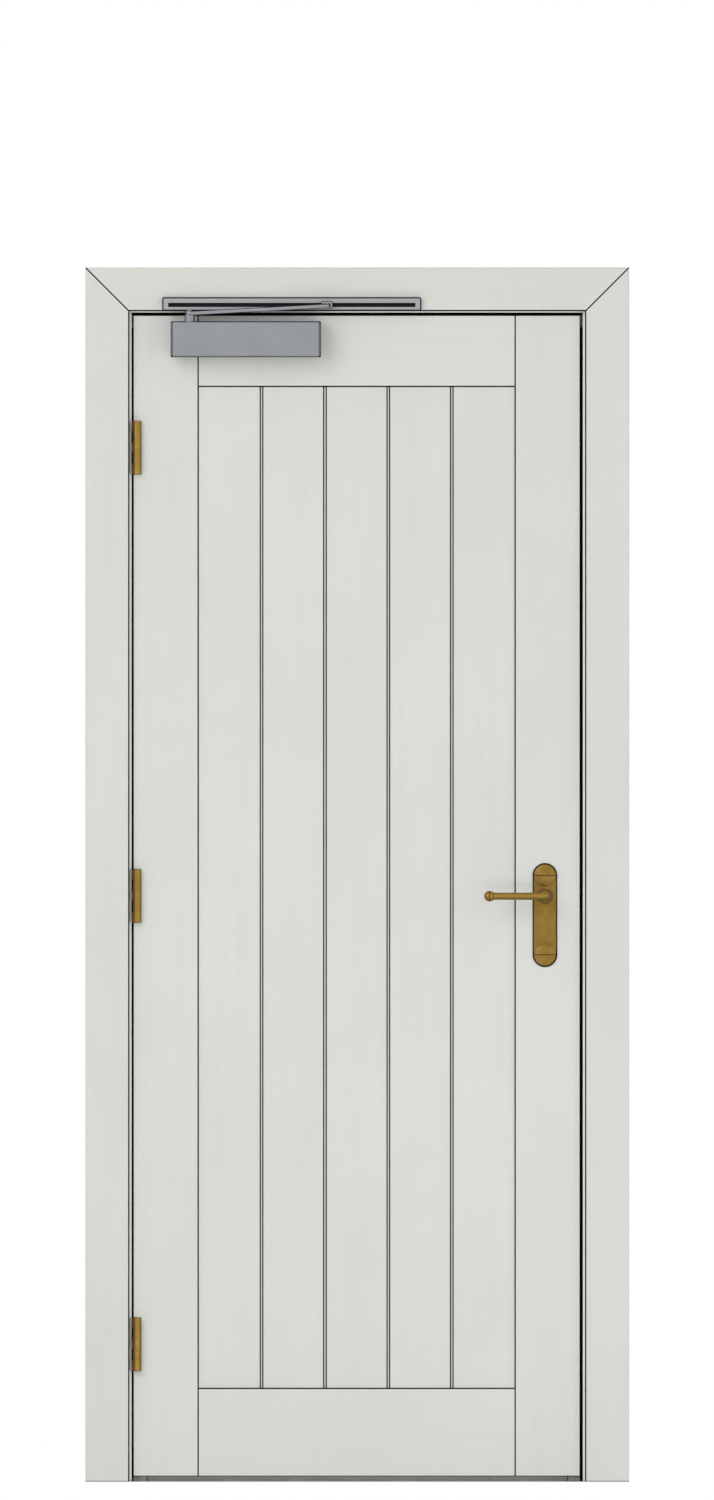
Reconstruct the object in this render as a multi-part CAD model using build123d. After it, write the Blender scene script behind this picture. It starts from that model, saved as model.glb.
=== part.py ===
"""Boarded timber fire door hung in its lining, with butt hinges, a lever latch and a track closer.

Millimetres. The origin is at the foot of the hinge jamb's wall face, in the middle of its depth.
+X runs towards the lock side, +Y through the wall from the closer's side, and +Z up.
"""
from build123d import *
import os
from math import atan2, degrees

# Leaf
leaf_width = 762.0
leaf_height = 1981.0
leaf_thickness = 44.0
stile_width = 110.5
top_rail_height = 121.0
bottom_rail_height = 150.0
board_count = 5
board_recess = 3.0
board_arris = 2.25
tongue_thickness = 7.0
tongue_length = 7.0
joint_arris = 0.8
lock_edge_bevel = 2.5

# Gaps round the closed leaf
hinge_gap = 3.0
lock_gap = 5.0
head_gap = 5.0
foot_gap = 9.0
stop_gap = 5.5

# Lining, stops and architraves
lining_thickness = 32.0
lining_depth = 138.0
stop_projection = 25.0
stop_depth = 45.0
stop_arris = 1.2
architrave_width = 74.5
architrave_thickness = 18.0
architrave_side_margin = 4.4
architrave_head_margin = 2.4
architrave_arris = 1.6
seal_width = 10.0
seal_depth = 4.0
seal_setback = 33.0
seal_end = 2.0
threshold_height = 9.0
threshold_slope = 4.5
threshold_nose = 5.0

# Butt hinges
hinge_height = 90.0
hinge_from_leaf_end = 180.5
knuckle_count = 5
knuckle_radius = 6.75
knuckle_gap = 0.4
knuckle_run = 7.25
knuckle_over_leaf = 6.0
flap_depth = 30.0
flap_thickness = 3.0
pin_radius = 3.5
pin_play = 0.08

# Latch and lever furniture
spindle_backset = 59.7
spindle_drop = 0.5
spindle_square = 8.0
spindle_bore_radius = 7.0
plate_width = 40.0
plate_above_spindle = 55.5
plate_below_spindle = 120.0
plate_thickness = 3.0
plate_arris = 0.8
dome_radius = 19.0
dome_edge = 0.8
dome_crown = 2.6
dome_line_width = 0.9
dome_line_depth = 0.5
rose_radius = 13.0
rose_height = 7.0
neck_radius = 9.8
neck_height = 10.0
neck_play = 0.1
neck_taper = 5.0
stem_radius = 5.5
lever_radius = 6.25
lever_standoff = 50.0
lever_end_past_spindle = 6.2
lever_end_arris = 0.6
lever_reach = 94.6
lever_ball_radius = 9.25
ball_line_width = 0.8
ball_line_depth = 0.5
spindle_in_neck = 8.0
forend_width = 20.0
forend_height = 156.0
forend_thickness = 3.0
bolt_width = 11.0
bolt_height = 18.0
bolt_length = 14.0
bolt_nose = 6.0
bolt_play = 0.3
strike_thickness = 2.0
strike_height = 120.0
keep_width = 13.0
keep_height = 24.0
keep_depth = 18.0

# Closer on the leaf
closer_from_hinge_edge = 64.8
closer_length = 254.0
closer_height = 59.0
closer_depth = 54.0
closer_from_leaf_top = 11.0
closer_corner = 3.0
closer_spindle_from_hinge_edge = 95.9
closer_spindle_standoff = 39.0
closer_shaft_radius = 6.0
closer_shaft_play = 0.1
closer_shaft_depth = 20.0
collar_radius = 9.0
collar_clearance = 0.5
arm_stud_radius = 3.0

# Closer arm, slider and track
arm_length = 234.5
arm_bottom_above_leaf = 0.5
arm_thickness = 7.0
arm_rise = 12.0
arm_hub_radius = 6.5
arm_eye_radius = 5.0
slider_pin_radius = 2.2
slider_pin_play = 0.08
slider_length = 19.0
slider_height = 12.0
slider_wall = 3.0
slider_front = 6.5
slider_lid_gap = 1.2
slider_face_gap = 1.0
tongue_reach = 6.0
track_slot_height = 5.6
track_slot_play = 0.5
track_from_hinge_edge = 50.3
track_length = 440.0
track_height = 22.0
track_depth = 10.0
track_above_architrave = 0.8
track_slot_above_track = 9.8
track_channel_height = 13.6
track_lip = 2.0
track_cap_length = 9.8
track_cap_corner = 2.5

# Planes that the pieces share
front_face = -lining_depth / 2
back_face = lining_depth / 2
hinge_jamb_face = lining_thickness
leaf_hinge_edge = hinge_jamb_face + hinge_gap
leaf_lock_edge = leaf_hinge_edge + leaf_width
lock_jamb_face = leaf_lock_edge + lock_gap
lining_width = lock_jamb_face + lining_thickness
leaf_front = front_face
leaf_back = leaf_front + leaf_thickness
leaf_mid = (leaf_front + leaf_back) / 2
leaf_foot = foot_gap
leaf_top = leaf_foot + leaf_height
head_face = leaf_top + head_gap
stop_front = leaf_back + stop_gap
stop_back = stop_front + stop_depth
panel_left = leaf_hinge_edge + stile_width
panel_right = leaf_lock_edge - stile_width
panel_foot = leaf_foot + bottom_rail_height
panel_head = leaf_top - top_rail_height
seal_front = front_face + seal_setback
hinge_axis_x = leaf_hinge_edge + knuckle_over_leaf
hinge_axis_y = leaf_front - knuckle_run
spindle_x = leaf_lock_edge - spindle_backset
spindle_z = leaf_foot + leaf_height / 2 - spindle_drop
closer_top = leaf_top - closer_from_leaf_top
closer_spindle_x = leaf_hinge_edge + closer_spindle_from_hinge_edge
closer_spindle_y = leaf_front - closer_spindle_standoff
arm_bottom = leaf_top + arm_bottom_above_leaf
eye_x = closer_spindle_x + arm_length
eye_bottom = arm_bottom + arm_rise
architrave_inner_head = head_face + architrave_head_margin
track_left = leaf_hinge_edge + track_from_hinge_edge
track_right = track_left + track_length
track_back = front_face - architrave_thickness
track_front = track_back - track_depth
track_foot = architrave_inner_head + track_above_architrave
slot_z = track_foot + track_slot_above_track

hinge_places = {
    "top": leaf_top - hinge_from_leaf_end - hinge_height / 2,
    "middle": leaf_foot + leaf_height / 2,
    "bottom": leaf_foot + hinge_from_leaf_end + hinge_height / 2,
}


def block(x_span, y_span, z_span):
    """A squared piece between three pairs of faces."""
    corner = Pos(x_span[0], y_span[0], z_span[0])
    size = (x_span[1] - x_span[0], y_span[1] - y_span[0], z_span[1] - z_span[0])
    return corner * Box(*size, align=(Align.MIN, Align.MIN, Align.MIN))


def upright(outline, foot, head):
    """A plan outline, given as points, raised from foot to head."""
    return Pos(0, 0, foot) * extrude(make_face(Polyline(*outline, close=True)), head - foot)


def around(x, y, foot, head, radius):
    """A round bar or bore that stands upright at x, y."""
    return Pos(x, y, foot) * extrude(Circle(radius), head - foot)


def hinge_span(middle):
    """The lowest and highest level of a hinge."""
    return middle - hinge_height / 2, middle + hinge_height / 2


# Lining
def hinge_jamb():
    jamb = block((0, lining_thickness), (front_face, back_face), (0, head_face))
    jamb -= block((hinge_jamb_face - seal_depth, hinge_jamb_face),
                  (seal_front, seal_front + seal_width), (0, head_face - seal_end))
    for middle in hinge_places.values():
        jamb -= block((hinge_jamb_face - flap_thickness, hinge_jamb_face),
                      (front_face, front_face + flap_depth), hinge_span(middle))
    return jamb


def keep_mortice(depth):
    """The hollow for the latch bolt, from the jamb's face inwards."""
    return block((lock_jamb_face, lock_jamb_face + depth),
                 (leaf_mid - keep_width / 2, leaf_mid + keep_width / 2),
                 (spindle_z - keep_height / 2, spindle_z + keep_height / 2))


def strike_blank():
    return block((lock_jamb_face, lock_jamb_face + strike_thickness),
                 (leaf_mid - forend_width / 2, leaf_mid + forend_width / 2),
                 (spindle_z - strike_height / 2, spindle_z + strike_height / 2))


def lock_jamb():
    jamb = block((lock_jamb_face, lining_width), (front_face, back_face), (0, head_face))
    jamb -= block((lock_jamb_face, lock_jamb_face + seal_depth),
                  (seal_front, seal_front + seal_width), (0, head_face - seal_end))
    return jamb - strike_blank() - keep_mortice(keep_depth)


def head_lining():
    head = block((0, lining_width), (front_face, back_face), (head_face, head_face + lining_thickness))
    return head - head_seal()


def head_seal():
    return block((hinge_jamb_face + seal_end, lock_jamb_face - seal_end),
                 (seal_front, seal_front + seal_width), (head_face, head_face + seal_depth))


def fire_seals():
    """Intumescent strips let in flush round the opening, behind the hinges and the strike plate."""
    depth = (seal_front, seal_front + seal_width)
    height = (0, head_face - seal_end)
    hinge_side = block((hinge_jamb_face - seal_depth, hinge_jamb_face), depth, height)
    lock_side = block((lock_jamb_face, lock_jamb_face + seal_depth), depth, height)
    return Compound(children=[hinge_side, lock_side, head_seal()])


def strike_plate():
    return strike_blank() - keep_mortice(strike_thickness)


def eased(piece, direction, faces_at, size):
    """A piece with its long arrises on the given plane planed off."""
    axis, level = faces_at
    arrises = piece.edges().filter_by(direction).filter_by_position(axis, level - 0.01, level + 0.01)
    return chamfer(arrises, size)


def side_stop(near, far):
    stop = block((min(near, far), max(near, far)), (stop_front, stop_back),
                 (0, head_face - stop_projection))
    return eased(stop, Axis.Z, (Axis.X, far), stop_arris)


def head_stop():
    stop = block((hinge_jamb_face, lock_jamb_face), (stop_front, stop_back),
                 (head_face - stop_projection, head_face))
    return eased(stop, Axis.X, (Axis.Z, head_face - stop_projection), stop_arris)


def threshold_bar():
    """A low metal bar between the stops, with sloping sides."""
    profile = Polyline((stop_front, 0), (stop_front, threshold_nose),
                       (stop_front + threshold_slope, threshold_height),
                       (stop_back - threshold_slope, threshold_height),
                       (stop_back, threshold_nose), (stop_back, 0), close=True)
    start = Plane(origin=(hinge_jamb_face + stop_projection, 0, 0), x_dir=(0, 1, 0), z_dir=(1, 0, 0))
    length = lock_jamb_face - hinge_jamb_face - 2 * stop_projection
    return extrude(start * make_face(profile), length)


# Architraves, mitred at the head
architrave_left_inner = hinge_jamb_face - architrave_side_margin
architrave_right_inner = lock_jamb_face + architrave_side_margin
architrave_left = architrave_left_inner - architrave_width
architrave_right = architrave_right_inner + architrave_width
architrave_top = architrave_inner_head + architrave_width


def architrave(outline, wall_side, proud_side, direction):
    """One mitred length, its outline drawn in elevation, with its front arrises eased."""
    elevation = Plane.XZ * make_face(Polyline(*outline, close=True))
    length = extrude(Pos(0, wall_side, 0) * elevation, amount=wall_side - proud_side)
    arrises = length.edges().filter_by(direction)
    proud = arrises.filter_by_position(Axis.Y, proud_side - 0.01, proud_side + 0.01)
    return chamfer(proud, architrave_arris)


def architrave_set(wall_side, proud_side):
    left = [(architrave_left, 0), (architrave_left, architrave_top),
            (architrave_left_inner, architrave_inner_head), (architrave_left_inner, 0)]
    right = [(architrave_right, 0), (architrave_right, architrave_top),
             (architrave_right_inner, architrave_inner_head), (architrave_right_inner, 0)]
    head = [(architrave_left, architrave_top), (architrave_right, architrave_top),
            (architrave_right_inner, architrave_inner_head), (architrave_left_inner, architrave_inner_head)]
    return {
        "left": architrave(left, wall_side, proud_side, Axis.Z),
        "right": architrave(right, wall_side, proud_side, Axis.Z),
        "head": architrave(head, wall_side, proud_side, Axis.X),
    }


# Leaf
def hinge_stile():
    stile = block((leaf_hinge_edge, panel_left), (leaf_front, leaf_back), (leaf_foot, leaf_top))
    stile = eased(stile, Axis.Z, (Axis.X, panel_left), joint_arris)
    for middle in hinge_places.values():
        stile -= block((leaf_hinge_edge, leaf_hinge_edge + flap_thickness),
                       (leaf_front, leaf_front + flap_depth), hinge_span(middle))
    return stile


lock_edge_mid = leaf_lock_edge - lock_edge_bevel / 2
lock_edge_turn = degrees(atan2(lock_edge_bevel, leaf_thickness))
lock_edge = Pos(lock_edge_mid, leaf_mid, spindle_z) * Rot(0, 0, lock_edge_turn)


def forend_blank():
    size = (forend_thickness, forend_width, forend_height)
    return lock_edge * Box(*size, align=(Align.MAX, Align.CENTER, Align.CENTER))


def bolt_way():
    """The hollow that the latch bolt lies in, out to the leaf's lock edge."""
    size = (bolt_length + bolt_play, bolt_width + 2 * bolt_play, bolt_height + 2 * bolt_play)
    return lock_edge * Box(*size, align=(Align.MAX, Align.CENTER, Align.CENTER))


def lock_stile():
    """The lock edge is bevelled so that its back arris passes the jamb."""
    stile = upright([(panel_right, leaf_front), (leaf_lock_edge, leaf_front),
                     (leaf_lock_edge - lock_edge_bevel, leaf_back), (panel_right, leaf_back)],
                    leaf_foot, leaf_top)
    stile = eased(stile, Axis.Z, (Axis.X, panel_right), joint_arris)
    bore = Pos(spindle_x, leaf_mid, spindle_z) * Rot(90, 0, 0) * Cylinder(spindle_bore_radius, leaf_thickness)
    return stile - forend_blank() - bolt_way() - bore


def rail(foot, head):
    piece = block((panel_left, panel_right), (leaf_front, leaf_back), (foot, head))
    for end in (panel_left, panel_right):
        piece = eased(piece, Axis.Z, (Axis.X, end), joint_arris)
    return piece


def board(number):
    """One tongued and grooved board, with its face arrises planed off to leave a V between boards."""
    width = (panel_right - panel_left) / board_count
    left = panel_left + number * width
    right = left + width
    front = leaf_front + board_recess
    back = leaf_back - board_recess
    half_tongue = tongue_thickness / 2
    has_groove = number > 0
    has_tongue = number < board_count - 1
    outline = [(left, front + board_arris), (left + board_arris, front)] if has_groove else [(left, front)]
    if has_tongue:
        outline += [(right - board_arris, front), (right, front + board_arris),
                    (right, leaf_mid - half_tongue), (right + tongue_length, leaf_mid - half_tongue),
                    (right + tongue_length, leaf_mid + half_tongue), (right, leaf_mid + half_tongue),
                    (right, back - board_arris), (right - board_arris, back)]
    else:
        outline += [(right, front), (right, back)]
    if has_groove:
        outline += [(left + board_arris, back), (left, back - board_arris),
                    (left, leaf_mid + half_tongue), (left + tongue_length, leaf_mid + half_tongue),
                    (left + tongue_length, leaf_mid - half_tongue), (left, leaf_mid - half_tongue)]
    else:
        outline += [(left, back)]
    return upright(outline, panel_foot, panel_head)


# Butt hinges
def knuckles(middle, first, web, bore_radius):
    """Every second knuckle of a hinge, rolled from its flap's edge round the pin."""
    foot, _ = hinge_span(middle)
    pitch = hinge_height / knuckle_count
    rolls = []
    for number in range(first, knuckle_count, 2):
        low = foot + number * pitch + (knuckle_gap if number > 0 else 0)
        high = foot + (number + 1) * pitch
        roll = around(hinge_axis_x, hinge_axis_y, low, high, knuckle_radius) + upright(web, low, high)
        rolls.append(roll - around(hinge_axis_x, hinge_axis_y, low, high, bore_radius))
    return rolls


def frame_flap(middle):
    root = hinge_jamb_face - flap_thickness
    roll_edge = hinge_axis_x - knuckle_radius
    web = [(root, front_face + flap_thickness), (root, front_face - flap_thickness / 2),
           (roll_edge, hinge_axis_y), (hinge_axis_x, hinge_axis_y),
           (leaf_hinge_edge - hinge_gap / 2, front_face - flap_thickness / 2),
           (hinge_jamb_face, front_face), (hinge_jamb_face, front_face + flap_thickness)]
    flap = block((root, hinge_jamb_face), (front_face, front_face + flap_depth), hinge_span(middle))
    return flap + knuckles(middle, 0, web, pin_radius)


def leaf_flap(middle):
    root = leaf_hinge_edge + flap_thickness
    web = [(leaf_hinge_edge, leaf_front + flap_thickness), (leaf_hinge_edge, hinge_axis_y),
           (root, hinge_axis_y), (root, leaf_front + flap_thickness)]
    flap = block((leaf_hinge_edge, root), (leaf_front, leaf_front + flap_depth), hinge_span(middle))
    return flap + knuckles(middle, 1, web, pin_radius + pin_play)


def hinge_pins():
    return Compound(children=[
        around(hinge_axis_x, hinge_axis_y, *hinge_span(middle), pin_radius)
        for middle in hinge_places.values()
    ])


# Latch
def latch_forend():
    return forend_blank() - bolt_way()


def latch_bolt():
    """The bolt drawn back by the lever, with its bevelled nose just inside the forend."""
    half = bolt_width / 2
    outline = make_face(Polyline((-bolt_length, -half), (-bolt_nose, -half), (0, half),
                                 (-bolt_length, half), close=True))
    return lock_edge * extrude(outline, bolt_height / 2, both=True)


# Lever furniture on the front, copied to the back by a mirror
leaf_middle_plane = Plane(origin=(0, leaf_mid, 0), z_dir=(0, 1, 0))


def dome(level):
    """A low crown with a short upright edge on one end of the backplate, and a fine line cut across
    it that follows the crown."""
    top = dome_edge + dome_crown
    crown = TangentArc((0, top), (dome_radius, dome_edge), tangent=(1, 0))
    sides = Polyline((dome_radius, dome_edge), (dome_radius, 0), (0, 0), (0, top))
    turned = revolve(Plane.XZ * make_face([crown, *sides.edges()]), Axis.Z)
    strip = Box(2 * dome_radius, dome_line_width, 2 * top)
    turned -= strip - Pos(0, 0, -dome_line_depth) * turned
    return Pos(spindle_x, leaf_front - plate_thickness, level) * Rot(90, 0, 0) * turned


def backplate():
    radius = plate_width / 2
    high = spindle_z + plate_above_spindle - radius
    low = spindle_z - plate_below_spindle + radius
    outline = Pos(spindle_x, (high + low) / 2) * SlotCenterToCenter(high - low, plate_width, rotation=90)
    plate = extrude(Plane(origin=(0, leaf_front, 0), x_dir=(1, 0, 0), z_dir=(0, -1, 0)) * outline,
                    plate_thickness)
    proud = leaf_front - plate_thickness
    plate = chamfer(plate.edges().filter_by_position(Axis.Y, proud - 0.01, proud + 0.01), plate_arris)
    rose_plane = Plane(origin=(spindle_x, leaf_front, spindle_z), x_dir=(1, 0, 0), z_dir=(0, -1, 0))
    rose = extrude(rose_plane * Circle(rose_radius), rose_height)
    bore = extrude(rose_plane * Circle(neck_radius + neck_play), rose_height)
    return plate + dome(high) + dome(low) + rose - bore


def lever():
    """A turned stem that carries a round bar. The bar has a flat end over the stem, and at its free
    end a ball with a fine line round it."""
    root = leaf_front - neck_play
    neck_end = leaf_front - neck_height
    bar_axis = leaf_front - lever_standoff
    profile = make_face(Plane.XY * Polyline(
        (spindle_x, root), (spindle_x + neck_radius, root), (spindle_x + neck_radius, neck_end),
        (spindle_x + stem_radius, neck_end - neck_taper), (spindle_x + stem_radius, bar_axis),
        (spindle_x, bar_axis), close=True))
    stem = Pos(0, 0, spindle_z) * revolve(profile, Axis((spindle_x, 0, 0), (0, 1, 0)))
    flat_end = spindle_x + lever_end_past_spindle
    bar = Pos(flat_end, bar_axis, spindle_z) * Rot(0, -90, 0) * extrude(
        Circle(lever_radius), lever_end_past_spindle + lever_reach)
    rim = bar.edges().filter_by_position(Axis.X, flat_end - 0.01, flat_end + 0.01)
    bar = chamfer(rim, lever_end_arris)
    ball = Rot(0, 90, 0) * Sphere(lever_ball_radius)
    line = Rot(0, 90, 0) * (Cylinder(lever_ball_radius, ball_line_width)
                            - Cylinder(lever_ball_radius - ball_line_depth, ball_line_width))
    ball = Pos(spindle_x - lever_reach, bar_axis, spindle_z) * (ball - line)
    socket = Pos(spindle_x, root - spindle_in_neck / 2, spindle_z) * Box(
        spindle_square, spindle_in_neck, spindle_square)
    return stem + bar + ball - socket


def lever_spindle():
    half = spindle_square / 2
    front = leaf_front - neck_play - spindle_in_neck
    back = leaf_back + neck_play + spindle_in_neck
    return block((spindle_x - half, spindle_x + half), (front, back), (spindle_z - half, spindle_z + half))


# Closer
def closer_body():
    left = leaf_hinge_edge + closer_from_hinge_edge
    body = block((left, left + closer_length), (leaf_front - closer_depth, leaf_front),
                 (closer_top - closer_height, closer_top))
    rounded = body.edges() - body.edges().filter_by_position(Axis.Y, leaf_front - 0.01, leaf_front + 0.01)
    body = fillet(rounded, closer_corner)
    return body - around(closer_spindle_x, closer_spindle_y, closer_top - closer_shaft_depth, closer_top,
                         closer_shaft_radius + closer_shaft_play)


def closer_spindle():
    collar_foot = closer_top + collar_clearance
    shaft = around(closer_spindle_x, closer_spindle_y,
                   closer_top - closer_shaft_depth + collar_clearance, collar_foot, closer_shaft_radius)
    collar = around(closer_spindle_x, closer_spindle_y, collar_foot, arm_bottom, collar_radius)
    stud = around(closer_spindle_x, closer_spindle_y, arm_bottom, arm_bottom + arm_thickness, arm_stud_radius)
    return shaft + collar + stud


def closer_arm():
    """A tapered bar: its plan outline cut from a bar cranked up in elevation."""
    hub_flat = closer_spindle_x + arm_hub_radius
    eye_flat = eye_x - arm_eye_radius
    hub_end = closer_spindle_x - arm_hub_radius
    eye_end = eye_x + arm_eye_radius
    side = make_face(Polyline(
        (hub_end, arm_bottom), (hub_flat, arm_bottom), (eye_flat, eye_bottom), (eye_end, eye_bottom),
        (eye_end, eye_bottom + arm_thickness), (eye_flat, eye_bottom + arm_thickness),
        (hub_flat, arm_bottom + arm_thickness), (hub_end, arm_bottom + arm_thickness), close=True))
    cranked = extrude(Pos(0, closer_spindle_y, 0) * (Plane.XZ * side), arm_hub_radius, both=True)
    hub = Pos(closer_spindle_x, closer_spindle_y) * Circle(arm_hub_radius)
    eye = Pos(eye_x, closer_spindle_y) * Circle(arm_eye_radius)
    plan = make_hull(hub.edges() + eye.edges())
    bar = cranked & Pos(0, 0, arm_bottom) * extrude(plan, arm_rise + arm_thickness)
    bar -= around(closer_spindle_x, closer_spindle_y, arm_bottom, eye_bottom, arm_stud_radius)
    return bar - around(eye_x, closer_spindle_y, arm_bottom, eye_bottom + arm_thickness,
                        slider_pin_radius + slider_pin_play)


def track_slider():
    """A block open to the front, left and foot, with the arm's pivot pin and a tongue in the slot."""
    left = eye_x - slider_length / 2
    right = eye_x + slider_length / 2
    foot = slot_z - slider_height / 2
    head = slot_z + slider_height / 2
    back = track_front - slider_face_gap
    front = closer_spindle_y - slider_front
    lid = eye_bottom + arm_thickness + slider_lid_gap
    slider = block((left, right), (back - slider_wall, back), (foot, head))
    slider += block((left, right), (front, back), (lid, head))
    slider += block((right - slider_wall, right), (front, back), (foot, head))
    tongue_half = track_slot_height / 2 - track_slot_play
    slider += block((left, right), (back, back + tongue_reach), (slot_z - tongue_half, slot_z + tongue_half))
    return slider + around(eye_x, closer_spindle_y, foot, lid, slider_pin_radius)


def closer_track():
    """A lipped channel with its slot towards the room."""
    profile = block((track_left + track_cap_length, track_right - track_cap_length),
                    (track_front, track_back), (track_foot, track_foot + track_height))
    ends = (track_left, track_right)
    half_channel = track_channel_height / 2
    half_slot = track_slot_height / 2
    channel = block(ends, (track_front + track_lip, track_back - track_lip),
                    (slot_z - half_channel, slot_z + half_channel))
    slot = block(ends, (track_front, track_front + track_lip), (slot_z - half_slot, slot_z + half_slot))
    return profile - channel - slot


def track_end_cap(inner, outer):
    """A cap with its outer corners rounded in elevation."""
    cap = block((min(inner, outer), max(inner, outer)), (track_front, track_back),
                (track_foot, track_foot + track_height))
    corners = cap.edges().filter_by(Axis.Y).filter_by_position(Axis.X, outer - 0.01, outer + 0.01)
    return fillet(corners, track_cap_corner)


def track_end_caps():
    return Compound(children=[track_end_cap(track_left + track_cap_length, track_left),
                              track_end_cap(track_right - track_cap_length, track_right)])


def door_parts():
    """Every piece of the door by name."""
    front = architrave_set(front_face, front_face - architrave_thickness)
    back = architrave_set(back_face, back_face + architrave_thickness)
    parts = {
        "jamb_hinge_side": hinge_jamb(),
        "jamb_lock_side": lock_jamb(),
        "head_lining": head_lining(),
        "stop_hinge_side": side_stop(hinge_jamb_face, hinge_jamb_face + stop_projection),
        "stop_lock_side": side_stop(lock_jamb_face, lock_jamb_face - stop_projection),
        "stop_head": head_stop(),
        "threshold_bar": threshold_bar(),
        "fire_seals": fire_seals(),
        "strike_plate": strike_plate(),
        "hinge_stile": hinge_stile(),
        "lock_stile": lock_stile(),
        "top_rail": rail(panel_head, leaf_top),
        "bottom_rail": rail(leaf_foot, panel_foot),
        "hinge_pins": hinge_pins(),
        "latch_forend": latch_forend(),
        "latch_bolt": latch_bolt(),
        "front_backplate": backplate(),
        "back_backplate": mirror(backplate(), leaf_middle_plane),
        "front_lever": lever(),
        "back_lever": mirror(lever(), leaf_middle_plane),
        "lever_spindle": lever_spindle(),
        "closer_body": closer_body(),
        "closer_spindle": closer_spindle(),
        "closer_arm": closer_arm(),
        "track_slider": track_slider(),
        "closer_track": closer_track(),
        "track_end_caps": track_end_caps(),
    }
    for side in ("left", "right", "head"):
        parts[f"front_architrave_{side}"] = front[side]
        parts[f"back_architrave_{side}"] = back[side]
    for place, middle in hinge_places.items():
        parts[f"hinge_{place}_frame_flap"] = frame_flap(middle)
        parts[f"hinge_{place}_leaf_flap"] = leaf_flap(middle)
    for number in range(board_count):
        parts[f"board_{number + 1}"] = board(number)
    return parts


os.makedirs("parts", exist_ok=True)
for name, piece in door_parts().items():
    export_step(piece, f"parts/{name}.step")
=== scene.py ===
"""Looks of a boarded timber fire door: painted timber, satin brass, silver paint and worn aluminium.

Metres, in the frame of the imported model: +X towards the lock side, +Y through the wall, +Z up.
Lengths below are written in millimetres, times MM.
"""
import math

import bmesh
import bpy
import numpy as np
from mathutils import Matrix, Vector


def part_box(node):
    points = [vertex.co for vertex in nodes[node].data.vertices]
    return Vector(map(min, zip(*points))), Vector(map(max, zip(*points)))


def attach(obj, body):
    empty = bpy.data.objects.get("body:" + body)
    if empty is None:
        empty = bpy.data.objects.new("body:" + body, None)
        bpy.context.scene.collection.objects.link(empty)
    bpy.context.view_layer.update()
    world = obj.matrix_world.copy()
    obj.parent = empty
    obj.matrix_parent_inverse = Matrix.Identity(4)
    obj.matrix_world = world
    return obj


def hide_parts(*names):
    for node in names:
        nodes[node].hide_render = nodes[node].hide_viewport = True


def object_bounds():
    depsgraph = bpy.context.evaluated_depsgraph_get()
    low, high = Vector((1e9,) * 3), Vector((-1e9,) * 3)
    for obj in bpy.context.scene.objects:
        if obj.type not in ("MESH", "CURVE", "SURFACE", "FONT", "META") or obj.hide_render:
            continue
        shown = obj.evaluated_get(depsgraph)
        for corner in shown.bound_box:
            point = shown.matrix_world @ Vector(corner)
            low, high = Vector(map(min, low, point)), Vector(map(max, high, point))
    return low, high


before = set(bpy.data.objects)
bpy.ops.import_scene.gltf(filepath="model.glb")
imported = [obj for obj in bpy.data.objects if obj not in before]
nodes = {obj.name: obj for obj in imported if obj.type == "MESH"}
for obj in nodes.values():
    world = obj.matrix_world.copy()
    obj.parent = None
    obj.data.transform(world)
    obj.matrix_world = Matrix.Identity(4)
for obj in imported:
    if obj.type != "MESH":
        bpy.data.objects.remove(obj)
cad_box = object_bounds()
MM = 0.001
TURN = 2 * math.pi


# Shader maths on sockets
class Wire:
    """One node output, with arithmetic that adds Math nodes."""

    def __init__(self, paint, socket):
        self.paint = paint
        self.socket = socket

    def math(self, operation, *others):
        return self.paint.node("ShaderNodeMath", {"operation": operation},
                               dict(enumerate((self,) + others)))

    def __add__(self, other):
        return self.math("ADD", other)

    def __sub__(self, other):
        return self.math("SUBTRACT", other)

    def __rsub__(self, other):
        return self.paint.node("ShaderNodeMath", {"operation": "SUBTRACT"}, {0: other, 1: self})

    def __mul__(self, other):
        return self.math("MULTIPLY", other)

    __radd__ = __add__
    __rmul__ = __mul__

    def absolute(self):
        return self.math("ABSOLUTE")

    def least(self, other):
        return self.math("MINIMUM", other)

    def most(self, other):
        return self.math("MAXIMUM", other)

    def root(self):
        return self.math("SQRT")

    def ramp(self, low, high):
        """0 at low and 1 at high, eased between them; low may be the larger."""
        settings = {"interpolation_type": "SMOOTHSTEP"}
        if low <= high:
            return self.paint.node("ShaderNodeMapRange", settings, {0: self, 1: low, 2: high})
        return 1 - self.paint.node("ShaderNodeMapRange", settings, {0: self, 1: high, 2: low})


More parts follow.
